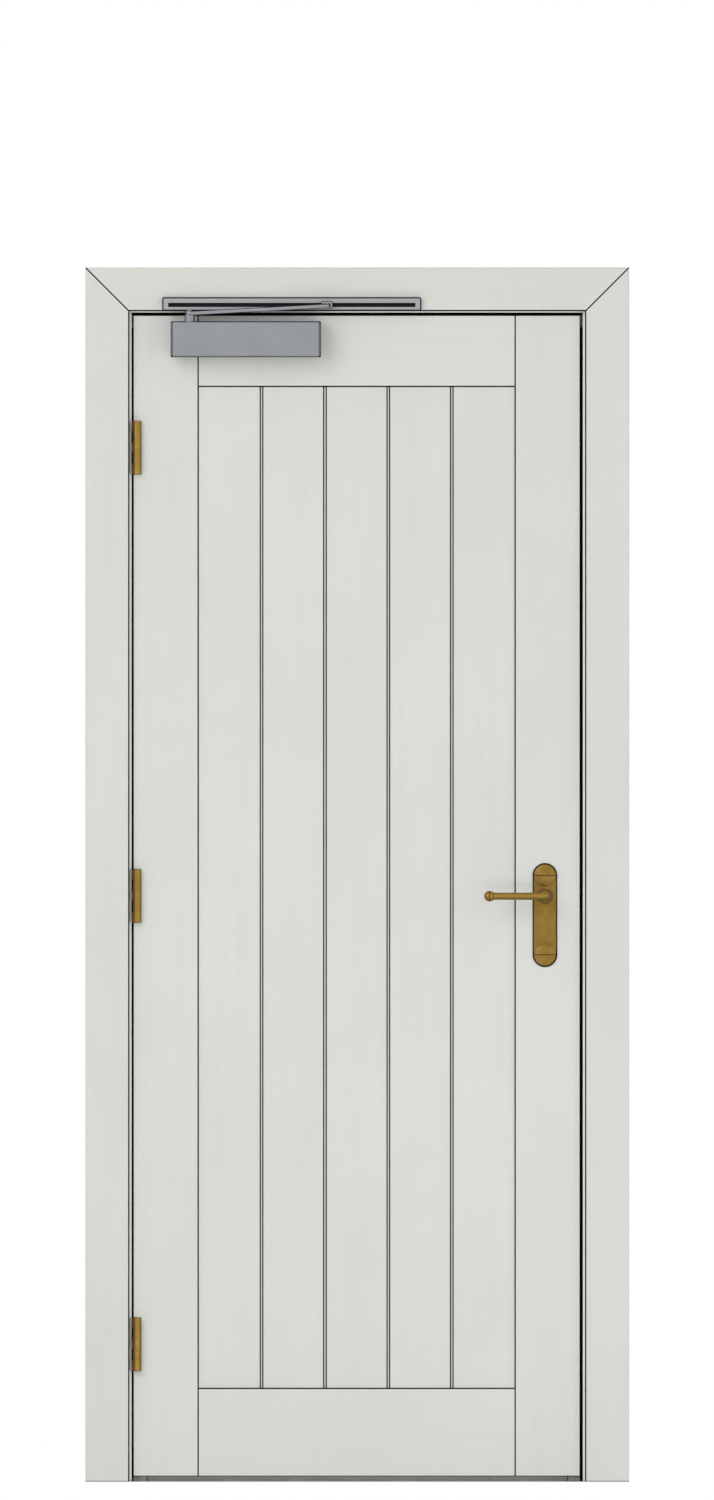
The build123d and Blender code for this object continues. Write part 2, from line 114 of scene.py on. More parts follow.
class Paint:
    """One material, built round a Principled BSDF."""

    def __init__(self, name):
        self.material = bpy.data.materials.new(name)
        self.material.use_nodes = True
        self.tree = self.material.node_tree
        self.shader = self.tree.nodes["Principled BSDF"]
        self.place = self.node("ShaderNodeTexCoord", output="Object")
        self.x, self.y, self.z = (
            self.node("ShaderNodeSeparateXYZ", inputs={0: self.place}, output=axis) for axis in "XYZ")

    def node(self, kind, settings=None, inputs=None, output=0):
        """Adds a node, sets it up, fills its sockets with values or links, and returns one output."""
        made = self.tree.nodes.new(kind)
        for name, value in (settings or {}).items():
            setattr(made, name, value)
        for name, value in (inputs or {}).items():
            if isinstance(value, Wire):
                self.tree.links.new(value.socket, made.inputs[name])
            else:
                made.inputs[name].default_value = value
        return Wire(self, made.outputs[output])

    def stretched(self, stretch, shift=(0, 0, 0)):
        """Object coordinates, scaled along each axis and moved to another stretch of the pattern."""
        return self.node("ShaderNodeMapping", inputs={"Vector": self.place, "Location": shift,
                                                      "Scale": stretch})

    def noise(self, where, scale, detail=3.0, roughness=0.5, distortion=0.0):
        return self.node("ShaderNodeTexNoise", inputs={
            "Vector": where, "Scale": scale, "Detail": detail, "Roughness": roughness,
            "Distortion": distortion})

    def stain(self):
        """How dark the worked surface says that a point is, from 0 to 1; a CAD piece has none."""
        return self.node("ShaderNodeAttribute", {"attribute_name": "stain"}, output="Fac")

    def blend(self, factor, first, second):
        """Mixes two colours."""
        return self.node("ShaderNodeMix", {"data_type": "RGBA"}, {0: factor, 6: first, 7: second}, output=2)

    def finish(self, colour, roughness, height, depth=MM, metallic=0.0, **constants):
        """Joins the pattern to the shader: height is in units of depth."""
        bump = self.node("ShaderNodeBump", inputs={"Strength": 1.0, "Distance": depth, "Height": height},
                         output="Normal")
        for name, value in (("Base Color", colour), ("Roughness", roughness), ("Normal", bump),
                            ("Metallic", metallic)):
            if isinstance(value, Wire):
                self.tree.links.new(value.socket, self.shader.inputs[name])
            else:
                self.shader.inputs[name].default_value = value
        for name, value in constants.items():
            self.shader.inputs[name.replace("_", " ")].default_value = value
        return self.material


def srgb(red, green, blue):
    """A colour given in 0 to 255 as it looks on screen, as linear values."""
    channels = [c / 255 for c in (red, green, blue)]
    return tuple(c / 12.92 if c <= 0.04045 else ((c + 0.055) / 1.055) ** 2.4 for c in channels) + (1.0,)


def toned(colour, factor):
    return tuple(min(1.0, c * factor) for c in colour[:3]) + (1.0,)


LEAF_PAINT = srgb(218, 219, 214)
FRAME_PAINT = srgb(217, 216, 211)
# The frame's paint made paler for the linings and stops: partly their own paler paint, partly painted light
# that lifts the lining's edge strip and the stops' feet out of their shade.
LINING_PAINT_AND_LIGHT = srgb(240, 239, 235)
WORN_PAINT = srgb(196, 190, 176)
# Near-black of dark joints, also painted as shade in the gaps, at the feet and round fittings.
JOINT_DARK_AND_SHADE = srgb(18, 17, 16)
BRASS = srgb(132, 105, 50)
# A lighter copy of the brass for the levers and hinges, as painted light: it makes up for the darker
# surroundings that their round faces reflect.
BRASS_PAINTED_LIGHTER = srgb(143, 114, 55)
TARNISH = srgb(44, 27, 13)
SILVER_PAINT = srgb(138, 141, 146)
ANODISED = srgb(155, 157, 160)
THRESHOLD_METAL = srgb(140, 140, 138)


# Places taken from the frame
leaf_front, leaf_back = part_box("lock_stile")[0].y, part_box("lock_stile")[1].y
leaf_left, leaf_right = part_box("hinge_stile")[0].x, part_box("lock_stile")[1].x
leaf_mid = (leaf_front + leaf_back) / 2
panel_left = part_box("hinge_stile")[1].x
panel_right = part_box("lock_stile")[0].x
panel_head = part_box("top_rail")[0].z
panel_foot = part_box("bottom_rail")[1].z
hinge_jamb_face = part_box("jamb_hinge_side")[1].x
lock_jamb_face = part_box("jamb_lock_side")[0].x
plate_low, plate_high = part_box("front_backplate")
spindle_x = (plate_low.x + plate_high.x) / 2
spindle_z = (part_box("lever_spindle")[0].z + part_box("lever_spindle")[1].z) / 2


# Painted timber
def edge_distance(paint, node):
    """How far a point on a squared piece is from its nearest arris: the middle one of its three
    distances from the piece's faces."""
    low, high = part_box(node)
    away = [(wire - near).absolute().least((wire - far).absolute())
            for wire, near, far in zip((paint.x, paint.y, paint.z), low, high)]
    smaller = away[0].least(away[1])
    larger = away[0].most(away[1])
    return smaller.most(larger.least(away[2]))


def painted_timber(node, colour, run, dark_marks=()):
    """Satin paint brushed along the grain: faint growth rings and pores show through, brush marks
    catch the light, the arrises are worn a little thin, and the dark marks are the dark lines of joints
    and painted shade: in the gaps round the leaf, where pieces stand on the floor, round fittings and
    where the architrave stands proud of the lining. In them the metallic share takes the paint's own
    gloss away, so that they stay dark."""
    paint = Paint("painted_" + node)
    seed = (sum(ord(letter) for letter in node) * 0.37) % 7
    along = {"X": (0.045, 1, 1), "Z": (1, 1, 0.045)}[run]
    streaked = {"X": (0.012, 1, 1), "Z": (1, 1, 0.012)}[run]
    shift = (seed, seed * 0.7, seed * 1.3)
    rings = paint.noise(paint.stretched(along, shift), 42, detail=5, roughness=0.62, distortion=1.1)
    pores = paint.noise(paint.stretched(streaked, shift), 900, detail=2)
    brush = paint.noise(paint.stretched(streaked, shift), 330, detail=4, roughness=0.7)
    cloud = paint.noise(paint.stretched((1, 1, 1), shift), 3.1, detail=4, roughness=0.6)
    peel = paint.noise(paint.place, 420, detail=2)
    arris = edge_distance(paint, node)

    body = paint.blend(cloud.ramp(0.3, 0.7), toned(colour, 0.972), toned(colour, 1.012))
    body = paint.blend(rings.ramp(0.42, 0.66) * 0.20, body, toned(colour, 0.90))
    body = paint.blend(brush.ramp(0.52, 0.75) * 0.16, body, toned(colour, 1.05))
    thin = arris.ramp(2.2 * MM, 0.2 * MM) * cloud.ramp(0.38, 0.62) * 0.35
    body = paint.blend(thin, body, WORN_PAINT)
    no_shine = 0.0
    for mark in dark_marks:
        dark = mark(paint)
        body = paint.blend(dark, body, JOINT_DARK_AND_SHADE)
        no_shine = dark.most(no_shine)
    roughness = 0.36 + brush * 0.14 + cloud * 0.08 - thin * 0.2
    height = rings * 0.16 + brush * 0.13 + pores * 0.035 + peel * 0.03
    return paint.finish(body, roughness, height, depth=0.55 * MM, metallic=no_shine, IOR=1.48)


def dark_line_across(axis, level, half_width, strength=1.0):
    """A dark line across the given axis: the dark line of a joint, or painted shade at the foot of a piece or
    of a step.
    """
    def mask(paint):
        away = (getattr(paint, axis) - level).absolute()
        return away.ramp(half_width, half_width * 0.7) * strength
    return mask


def seam_mitre(corner, sign, lowest, half_width):
    """A dark line along a 45 degree mitre that passes through corner, above the lowest level."""
    def mask(paint):
        away = ((paint.x - corner[0]) * sign - (paint.z - corner[1])).absolute() * math.sqrt(0.5)
        return away.ramp(half_width, half_width * 0.7) * paint.z.ramp(lowest - MM, lowest)
    return mask


def outline_distance(paint, outline, corner):
    """How far a point lies outside a fitting's outline in elevation, negative inside. With its
    overshoot past the straight part of each side, that is the root of the sum of the squares of the
    overshoots that are positive, plus the larger one where both are negative, less the corner."""
    low, high = outline
    middle = (low + high) / 2
    half = (high - low) / 2
    across = (paint.x - middle.x).absolute() - (half.x - corner)
    upright = (paint.z - middle.z).absolute() - (half.z - corner)
    beside = across.most(0.0)
    above = upright.most(0.0)
    return (beside * beside + above * above).root() + across.most(upright).least(0.0) - corner


def on_face(paint, face):
    return (paint.y - face).absolute().ramp(1.0 * MM, 0.7 * MM)


def contact_shade_line(outline, corner, face, width, strength=1.0):
    """Painted shade: a dark line round a fitting, on the face that it is fixed to, where its contact shadow
    falls.
    """
    def mask(paint):
        away = outline_distance(paint, outline, corner)
        return away.ramp(width, width * 0.6) * on_face(paint, face) * strength
    return mask


def rim_line(outline, corner, face, width):
    """A dark line just inside the outline of a fitting, on its own front."""
    def mask(paint):
        away = outline_distance(paint, outline, corner)
        return away.ramp(-width, -0.6 * width) * on_face(paint, face)
    return mask


def arris_line(axis, level, face, width, depth=1.0 * MM):
    """A dark line along one arris of a face, which ends at the given depth behind it."""
    def mask(paint):
        along = (getattr(paint, axis) - level).absolute().ramp(width, width * 0.7)
        return along * (paint.y - face).absolute().ramp(depth, depth * 0.7)
    return mask


def gap_floor_shade(axis, jamb_level, gap, face):
    """Painted shade: the strip of a stop's front that lies at the bottom of the gap round the leaf, painted
    dark as the deep shade there.
    """
    def mask(paint):
        beside = (getattr(paint, axis) - jamb_level).absolute().ramp(gap + 0.3 * MM, gap - 0.1 * MM)
        return beside * (paint.y - face).ramp(1.0 * MM, 0.6 * MM)
    return mask


# Metals
def satin_brass(name, along, colour=BRASS, painted_over=None):
    """Lacquered satin brass: fine brushing one way, faint tarnish clouds, dark in its cut lines.
    Where it is painted over it has the frame's paint."""
    paint = Paint(name)
    lines = paint.noise(paint.stretched(along), 2600, detail=2)
    cloud = paint.noise(paint.place, 55, detail=4, roughness=0.6)
    spots = paint.noise(paint.place, 310, detail=3)
    stain = paint.stain().ramp(0.25, 0.7)
    body = paint.blend(cloud.ramp(0.35, 0.68), toned(colour, 1.10), toned(colour, 0.88))
    body = paint.blend(spots.ramp(0.62, 0.78) * 0.3, body, srgb(112, 84, 44))
    body = paint.blend(lines.ramp(0.5, 0.8) * 0.22, body, toned(colour, 1.4))
    body = paint.blend(stain * 0.95, body, TARNISH)
    roughness = 0.33 + lines * 0.12 + cloud * 0.12 + stain * 0.3
    metallic = 1 - stain * 0.7
    if painted_over is not None:
        covered = painted_over(paint)
        body = paint.blend(covered, body, FRAME_PAINT)
        metallic = metallic * (1 - covered)
        roughness = roughness + covered * 0.1
    return paint.finish(body, roughness, lines * 0.5 + cloud * 0.3, depth=0.03 * MM,
                        metallic=metallic, Anisotropic=0.35)


def silver_paint(name, dark_marks=()):
    """Silver enamel: small metal flakes, an orange-peel skin and slightly uneven tone."""
    paint = Paint(name)
    flake = paint.node("ShaderNodeTexVoronoi", inputs={"Vector": paint.place, "Scale": 2400}, output="Color")
    sparkle = paint.node("ShaderNodeSeparateXYZ", inputs={0: flake}, output="X")
    cloud = paint.noise(paint.place, 18, detail=4)
    peel = paint.noise(paint.place, 620, detail=3)
    body = paint.blend(cloud.ramp(0.3, 0.7), toned(SILVER_PAINT, 0.95), toned(SILVER_PAINT, 1.04))
    body = paint.blend(sparkle.ramp(0.72, 1.0) * 0.45, body, toned(SILVER_PAINT, 1.45))
    body = paint.blend(sparkle.ramp(0.25, 0.0) * 0.3, body, toned(SILVER_PAINT, 0.64))
    for mark in dark_marks:
        body = paint.blend(mark(paint), body, JOINT_DARK_AND_SHADE)
    return paint.finish(body, 0.36 + cloud * 0.12, peel, depth=0.04 * MM, metallic=0.5,
                        Coat_Weight=0.25, Coat_Roughness=0.2)


def drawn_aluminium(name, colour, dark_places=()):
    """Aluminium with fine lines along its length and a few rubs, and dark where a mask says so."""
    paint = Paint(name)
    lines = paint.noise(paint.stretched((0.01, 1, 1)), 1700, detail=3, roughness=0.7)
    cloud = paint.noise(paint.place, 24, detail=4)
    body = paint.blend(lines.ramp(0.35, 0.7), toned(colour, 0.92), toned(colour, 1.08))
    body = paint.blend(cloud.ramp(0.55, 0.8) * 0.3, body, toned(colour, 0.82))
    for dark in dark_places:
        body = paint.blend(dark(paint), body, srgb(26, 26, 28))
    return paint.finish(body, 0.3 + lines * 0.16 + cloud * 0.1, lines * 0.6, depth=0.03 * MM,
                        metallic=0.85)


def inside_channel(node, wall, front_level):
    """1 behind the lips and between the walls of a lipped channel, 0 on its outer faces: there the track is
    painted dark as the shade inside its channel.
    """
    low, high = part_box(node)

    def mask(paint):
        between = (paint.z - low.z).ramp(wall, wall * 1.5) * (high.z - paint.z).ramp(wall, wall * 1.5)
        return paint.y.ramp(front_level, front_level + 0.5 * MM) * between
    return mask


def turned_steel(name):
    """Dull grey steel with fine turning lines round an upright axis, dark in its cut lines."""
    paint = Paint(name)
    lines = paint.noise(paint.stretched((0.05, 0.05, 1)), 2400, detail=2)
    cloud = paint.noise(paint.place, 90, detail=3)
    body = paint.blend(lines.ramp(0.35, 0.7), srgb(124, 125, 130), srgb(150, 151, 156))
    body = paint.blend(paint.stain() * 0.85, body, srgb(40, 40, 44))
    return paint.finish(body, 0.36 + cloud * 0.2, lines, depth=0.02 * MM, metallic=0.95)


def seal_strip(name):
    """Dull intumescent strip with a fine drawn grain along it."""
    paint = Paint(name)
    grain = paint.noise(paint.stretched((1, 1, 0.02)), 1500, detail=3)
    cloud = paint.noise(paint.place, 30, detail=4)
    body = paint.blend(cloud.ramp(0.3, 0.7), srgb(46, 41, 38), srgb(62, 55, 50))
    return paint.finish(body, 0.75 + grain * 0.15, grain, depth=0.1 * MM)


# Worked surfaces
class Surface:
    """A closed shell given as a grid of points, rows by columns, whose last column joins its first,
    and whose first and last rows are closed to a point or a line. The stain is 0 to 1 at each point."""

    def __init__(self, points, stain):
        self.points = points
        self.stain = np.broadcast_to(stain, points.shape[:2])

    def placed(self, origin, across, up):
        """Its own x is laid along across and its own z along up, and it is moved to origin."""
        axes = np.array([across, np.cross(up, across), up], float)
        return Surface(self.points @ axes + np.array(origin, float), self.stain)

    def faces(self):
        """Quads between neighbouring rows and columns."""
        rows, columns = self.points.shape[:2]
        row, column = np.meshgrid(np.arange(rows - 1), np.arange(columns), indexing="ij")
        beside = (column + 1) % columns
        corners = [row * columns + column, row * columns + beside,
                   (row + 1) * columns + beside, (row + 1) * columns + column]
        return np.stack(corners, -1).reshape(-1, 4)


def make_piece(name, surfaces, material, body, stands_for=(), sharp=32):
    """One mesh from worked surfaces: poles are merged, faces turned outwards, sharp arrises kept."""
    points = np.concatenate([surface.points.reshape(-1, 3) for surface in surfaces])
    stain = np.concatenate([surface.stain.reshape(-1) for surface in surfaces])
    counts = [surface.stain.size for surface in surfaces]
    starts = np.cumsum([0] + counts[:-1])
    faces = np.concatenate([surface.faces() + start for surface, start in zip(surfaces, starts)])
    mesh = bpy.data.meshes.new(name)
    mesh.from_pydata(points.tolist(), [], faces.tolist())
    mesh.attributes.new("stain", "FLOAT", "POINT").data.foreach_set("value", stain.astype(np.float32))
    shell = bmesh.new()
    shell.from_mesh(mesh)
    bmesh.ops.remove_doubles(shell, verts=shell.verts, dist=0.001 * MM)
    bmesh.ops.recalc_face_normals(shell, faces=shell.faces)
    shell.to_mesh(mesh)
    shell.free()
    mesh.shade_smooth()
    mesh.set_sharp_from_angle(angle=math.radians(sharp))
    mesh.materials.append(material)
    piece = bpy.data.objects.new(name, mesh)
    bpy.context.scene.collection.objects.link(piece)
    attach(piece, body)
    if stands_for:
        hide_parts(*stands_for)
    return piece


def turned(profile, sides=64):
    """A profile turned round z: x and y are the radius times the cosine and sine of the turn, and z
    is the height. Each entry of the profile is a radius, a height and a stain, in millimetres."""
    radius, height, stain = np.array(profile, float).T
    turn = np.linspace(0, TURN, sides, endpoint=False)
    points = np.stack(np.broadcast_arrays(radius[:, None] * np.cos(turn), radius[:, None] * np.sin(turn),
                                          height[:, None]), -1)
    return Surface(points * MM, stain[:, None])


def stadium(profile, radius, half_run, steps=48):
    """A long plate with round ends: each row is the outline drawn in by an inset, at a height. The
    outline is the radius less the inset, round each end's middle, and the ends stand half_run each
    way from the plate's middle. Each entry of the profile is an inset, a height and a stain."""
    inset, height, stain = np.array(profile, float).T
    turn = np.concatenate([np.linspace(0, math.pi, steps), np.linspace(math.pi, TURN, steps)])
    end = np.repeat([half_run, -half_run], steps)
    left = (radius - inset)[:, None]
    points = np.stack(np.broadcast_arrays(left * np.cos(turn), left * np.sin(turn) + end,
                                          height[:, None]), -1)
    return Surface(points * MM, stain[:, None])


def lined_crown(radius, edge, crown, line, depth, sunk, eased, rim_stain):
    """A low dome with a straight line cut across it. A row crosses the dome at one y, and x runs along
    its chord, half as long as the root of the radius squared less y squared. The height is the edge
    plus the crown times one less the square of the distance from the middle over the radius. It falls
    by the line's depth where y is within half the line's width, and by a quarter circle at the rim."""
    half = line / 2
    slope = half * 0.3
    sweep = np.linspace(-math.pi / 2, math.pi / 2, 41)
    y = np.sort(np.concatenate([radius * np.sin(sweep), [-half - slope, -half, half, half + slope]]))[:, None]
    chord = np.sqrt(np.maximum(radius ** 2 - y ** 2, 0))
    x = chord * np.sin(np.linspace(-math.pi / 2, math.pi / 2, 37))
    away = np.sqrt(np.minimum(x ** 2 + y ** 2, radius ** 2))
    cut = np.clip((half + slope - np.abs(y)) / slope, 0, 1)
    into_rim = np.clip((away - radius + eased) / eased, 0, 1)
    height = edge + crown * (1 - (away / radius) ** 2) - depth * cut
    height = height - eased * (1 - np.sqrt(1 - into_rim ** 2))
    stain = np.maximum(np.broadcast_to(cut, x.shape), rim_stain * np.clip(into_rim * 2, 0, 1))
    one_each_side = ((0, 0), (1, 1))
    x, y, height = (np.pad(grid, one_each_side, "edge")
                    for grid in (x, np.broadcast_to(y, x.shape), height))
    height[:, [0, -1]] = -sunk
    points = np.stack([x, y, height], -1)
    return Surface(points * MM, np.pad(stain, one_each_side, "edge"))


# Lever furniture
PLATE_RADIUS = 20.0
PLATE_HALF_RUN = 67.75
PLATE_EDGE = 3.0
LEVER_STANDOFF = 50.0
LEVER_RADIUS = 6.25
LEVER_REACH = 94.6
LEVER_END = 6.2
LEVER_ARRIS = 0.6
STEM_RADIUS = 5.5
BALL_RADIUS = 9.25
BALL_LINE = 0.5


def backplate(side):
    """The plate, its two lined domes and the rose, as they lie on one face of the leaf."""
    face = leaf_front if side < 0 else leaf_back
    middle = np.array([spindle_x, face, (plate_low.z + plate_high.z) / 2])
    across, up = (-side, 0, 0), (0, side, 0)
    plate = stadium([(PLATE_RADIUS, 0, 0), (0, 0, 0), (0, PLATE_EDGE - 0.8, 1), (0.22, PLATE_EDGE - 0.25, 1),
                     (0.75, PLATE_EDGE, 1), (1.0, PLATE_EDGE, 1), (1.3, PLATE_EDGE, 0),
                     (PLATE_RADIUS, PLATE_EDGE, 0)], PLATE_RADIUS, PLATE_HALF_RUN)
    dome = lined_crown(radius=19.0, edge=0.8, crown=2.6, line=1.1, depth=0.5, sunk=0.2, eased=0.8,
                       rim_stain=1.0)
    rose = turned([(0, 0.05, 0), (9.9, 0.05, 0), (9.9, 6.7, 1), (10.2, 7.0, 1), (10.5, 7.0, 1),
                   (10.8, 7.0, 0), (12.0, 7.0, 0), (12.2, 7.0, 1), (12.75, 6.85, 1), (13.0, 6.5, 1),
                   (13.0, -0.05, 1), (0, -0.05, 0)], sides=80)
    ends = [middle + (0, side * PLATE_EDGE * MM, end * PLATE_HALF_RUN * MM) for end in (-1, 1)]
    return ([plate.placed(middle, across, up)] + [dome.placed(end, across, up) for end in ends]
            + [rose.placed((spindle_x, face, spindle_z), across, up)])


def lever(side):
    """A stem turned round the way out from the leaf, and a bar turned round the way to the hinge side.
    The bar starts with a flat end and ends in a ball: there its radius is the ball's times the sine of
    an angle that runs from the bar's surface to its far pole, less a cut at the ball's middle, and the
    place along the bar is the reach less the ball's radius times the angle's cosine."""
    stem = turned([(0, 0.1, 0), (9.8, 0.1, 0), (9.8, 9.3, 0), (9.7, 9.7, 1), (9.3, 10.2, 1), (9.0, 10.4, 0),
                   (7.4, 11.0, 0), (6.4, 12.0, 0), (5.8, 13.4, 0), (STEM_RADIUS, 15.2, 0),
                   (STEM_RADIUS, LEVER_STANDOFF, 0), (0, LEVER_STANDOFF, 0)])
    rim = LEVER_RADIUS - LEVER_ARRIS
    rim_place = LEVER_ARRIS - LEVER_END
    flat_end = np.array([(0, -LEVER_END, 0), (rim - 0.5, -LEVER_END, 0), (rim - 0.2, -LEVER_END, 1),
                         (rim, -LEVER_END, 1), (LEVER_RADIUS, rim_place, 1),
                         (LEVER_RADIUS, rim_place + 0.3, 1), (LEVER_RADIUS, rim_place + 0.6, 0)])
    joint = math.asin(LEVER_RADIUS / BALL_RADIUS)
    line = BALL_LINE / BALL_RADIUS
    quarter = math.pi / 2
    angle = np.concatenate([np.linspace(joint, quarter - 2 * line, 14),
                            quarter + line * np.array([-1, -0.8, 0.8, 1]),
                            np.linspace(quarter + 2 * line, math.pi, 22)])
    from_middle = np.abs(angle - quarter)
    radius = (BALL_RADIUS - BALL_LINE * (from_middle < 0.9 * line)) * np.sin(angle)
    along_bar = LEVER_REACH - BALL_RADIUS * np.cos(angle)
    ball = np.stack([radius, along_bar, np.where(from_middle < 1.1 * line, 1, 0)], -1)
    ball[0, 2] = 1
    root = ball[0, 1]
    neck = [(LEVER_RADIUS, root - 0.7, 0), (LEVER_RADIUS, root - 0.4, 1)]
    bar = turned(np.concatenate([flat_end, neck, ball]))
    face = leaf_front if side < 0 else leaf_back
    return [stem.placed((spindle_x, face, spindle_z), (-side, 0, 0), (0, side, 0)),
            bar.placed((spindle_x, face + side * LEVER_STANDOFF * MM, spindle_z), (0, 0, 1), (-1, 0, 0))]


# Screws
SMALL_HEAD = 3.4
SILL_HEAD = 3.6
HINGE_SCREW_PITCH = 23 * MM
HINGE_SCREW_DEPTH = 10 * MM
HINGE_SCREW_ZIGZAG = 11 * MM
KEEP_SCREW_REACH = 50 * MM
FOREND_SCREW_REACH = 68 * MM
LOCK_EDGE_BEVEL = 2.5 * MM


def slotted_screws(places, facing, spread=4.0, turn_seed=1.0):
    """Raised countersunk heads, each with its slot at an angle of its own. Facing is the way out."""
    facing = np.array(facing, float)
    side = np.cross(facing, (0, 0, 1.0)) if abs(facing[2]) < 0.9 else np.array([1.0, 0, 0])
    side = side / np.linalg.norm(side)
    other = np.cross(facing, side)
    head = lined_crown(radius=spread, edge=0.12, crown=0.3, line=1.0, depth=0.3, sunk=0.4, eased=0.1,
                       rim_stain=1.0)
    made = []
    for number, place in enumerate(places):
        angle = turn_seed * (number + 1) * 2.4
        made.append(head.placed(place, math.cos(angle) * side + math.sin(angle) * other, facing))
    return made


def hinge_screw_places(node, face):
    """Four screws in a zigzag down one flap."""
    low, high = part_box(node)
    middle = (low.z + high.z) / 2
    return [(face, leaf_front + HINGE_SCREW_DEPTH + HINGE_SCREW_ZIGZAG * (number % 2),
             middle + (number - 1.5) * HINGE_SCREW_PITCH) for number in range(4)]


def rounded_cap(radius, height, socket, socket_depth):
    """A cap screw's head with a round-cornered edge and a socket sunk in its top."""
    return [(0, -0.1, 0), (radius, -0.1, 0), (radius, height - 0.5, 0), (radius - 0.5, height, 0),
            (socket + 0.2, height, 0), (socket, height - 0.2, 1), (socket, height - socket_depth, 1),
            (0, height - socket_depth, 1)]


def ease(node, width, segments=2):
    """Rounds the arrises of a squared piece without touching its mesh."""
    piece = nodes[node]
    weld = piece.modifiers.new("joined", "WELD")
    weld.merge_threshold = 0.001 * MM
    flat = piece.modifiers.new("flat", "DECIMATE")
    flat.decimate_type = "DISSOLVE"
    flat.angle_limit = math.radians(1.0)
    bevel = piece.modifiers.new("eased", "BEVEL")
    bevel.width = width
    bevel.segments = segments
    bevel.limit_method = "ANGLE"
    bevel.angle_limit = math.radians(50)


def dress(node, material):
    if not nodes[node].material_slots:
        nodes[node].data.materials.append(material)
    for slot in nodes[node].material_slots:
        slot.material = material


# Timber
JOINT = 1.4 * MM
CONTACT = 1.5 * MM
BOARD_LINE = 1.25 * MM
LEAF_ARRIS = 0.8 * MM
ARCHITRAVE_ARRIS = 2.2 * MM
CASING_LINE_SHIFT = 0.5 * MM
HINGE_PLACES = ("top", "middle", "bottom")
CLOSER_CORNER = 0.5 * MM
SMALL_CORNER = 0.2 * MM
closer_low, closer_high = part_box("closer_body")
# Painted contact shade round the closer, the hinges and the backplates on the leaf.
closer_contact_shade = contact_shade_line((closer_low, closer_high), CLOSER_CORNER, leaf_front, CONTACT)
stile_seams = [dark_line_across("x", panel_left, JOINT), dark_line_across("x", panel_right, JOINT)]
rail_seams = stile_seams + [dark_line_across("z", panel_head, JOINT), dark_line_across("z", panel_foot, JOINT)]
hinge_contact_shades = [contact_shade_line(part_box(f"hinge_{place}_frame_flap"), SMALL_CORNER, leaf_front, CONTACT, 0.75)
                  for place in HINGE_PLACES]
plate_contact_shades = [contact_shade_line((plate_low, plate_high), (plate_high.x - plate_low.x) / 2, face, CONTACT)
                  for face in (leaf_front, leaf_back)]
# Painted shade: a dark line along the foot of each piece that stands on the floor.
floor_shade = [dark_line_across("z", 0.0, CONTACT)]
# Painted shade: dark lines along the leaf's front arrises at its foot, its head and both edges, for the shade
# in the gaps round it.
leaf_foot_shade = [arris_line("z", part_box("bottom_rail")[0].z, leaf_front, CONTACT)]
leaf_head_shade = [arris_line("z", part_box("top_rail")[1].z, leaf_front, LEAF_ARRIS)]
leaf_end_shades = leaf_foot_shade + leaf_head_shade
hinge_gap_shade = arris_line("x", leaf_left, leaf_front, LEAF_ARRIS)
lock_gap_shade = arris_line("x", leaf_right, leaf_front, LEAF_ARRIS)
dress("hinge_stile", painted_timber("hinge_stile", LEAF_PAINT, "Z", stile_seams + hinge_contact_shades
                                    + [closer_contact_shade, hinge_gap_shade] + leaf_end_shades))
dress("lock_stile", painted_timber("lock_stile", LEAF_PAINT, "Z",
                                   stile_seams + plate_contact_shades + [lock_gap_shade] + leaf_end_shades))
dress("top_rail", painted_timber("top_rail", LEAF_PAINT, "X", rail_seams + [closer_contact_shade] + leaf_head_shade))
dress("bottom_rail", painted_timber("bottom_rail", LEAF_PAINT, "X", rail_seams + leaf_foot_shade))

BOARD_ARRIS = 2.25 * MM
board_names = sorted(name for name in nodes if name.startswith("board_"))
board_width = (panel_right - panel_left) / len(board_names)
board_lines = [dark_line_across("x", panel_left + number * board_width + side * BOARD_ARRIS, BOARD_LINE)
               for number in range(1, len(board_names)) for side in (-1, 1)]
for name in board_names:
    dress(name, painted_timber(name, LEAF_PAINT, "Z", board_lines + rail_seams))

architrave_inner_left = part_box("front_architrave_left")[1].x
architrave_inner_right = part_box("front_architrave_right")[0].x
architrave_inner_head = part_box("front_architrave_head")[0].z
head_jamb_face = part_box("head_lining")[0].z
# Painted shade: a dark line where the architraves stand proud of the linings, on the lining's edge and along
# the architrave's inner arris.
casing_shade_lines = {"left": ("x", architrave_inner_left - CASING_LINE_SHIFT),
                "right": ("x", architrave_inner_right + CASING_LINE_SHIFT),
                "head": ("z", architrave_inner_head + 2 * CASING_LINE_SHIFT)}
for name, side, run, feet in (
        ("jamb_hinge_side", "left", "Z", floor_shade),
        ("jamb_lock_side", "right", "Z", floor_shade),
        ("head_lining", "head", "X", [])):
    dress(name, painted_timber(name, LINING_PAINT_AND_LIGHT, run, [dark_line_across(*casing_shade_lines[side], JOINT)] + feet))
stop_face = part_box("stop_head")[0].y
leaf_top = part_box("top_rail")[1].z
for name, run, axis, level, gap in (
        ("stop_hinge_side", "Z", "x", hinge_jamb_face, leaf_left - hinge_jamb_face),
        ("stop_lock_side", "Z", "x", lock_jamb_face, lock_jamb_face - leaf_right),
        ("stop_head", "X", "z", head_jamb_face, head_jamb_face - leaf_top)):
    dress(name, painted_timber(name, LINING_PAINT_AND_LIGHT, run, [gap_floor_shade(axis, level, gap, stop_face)] + floor_shade))
TRACK_CORNER = 2.5 * MM
track_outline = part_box("track_end_caps")
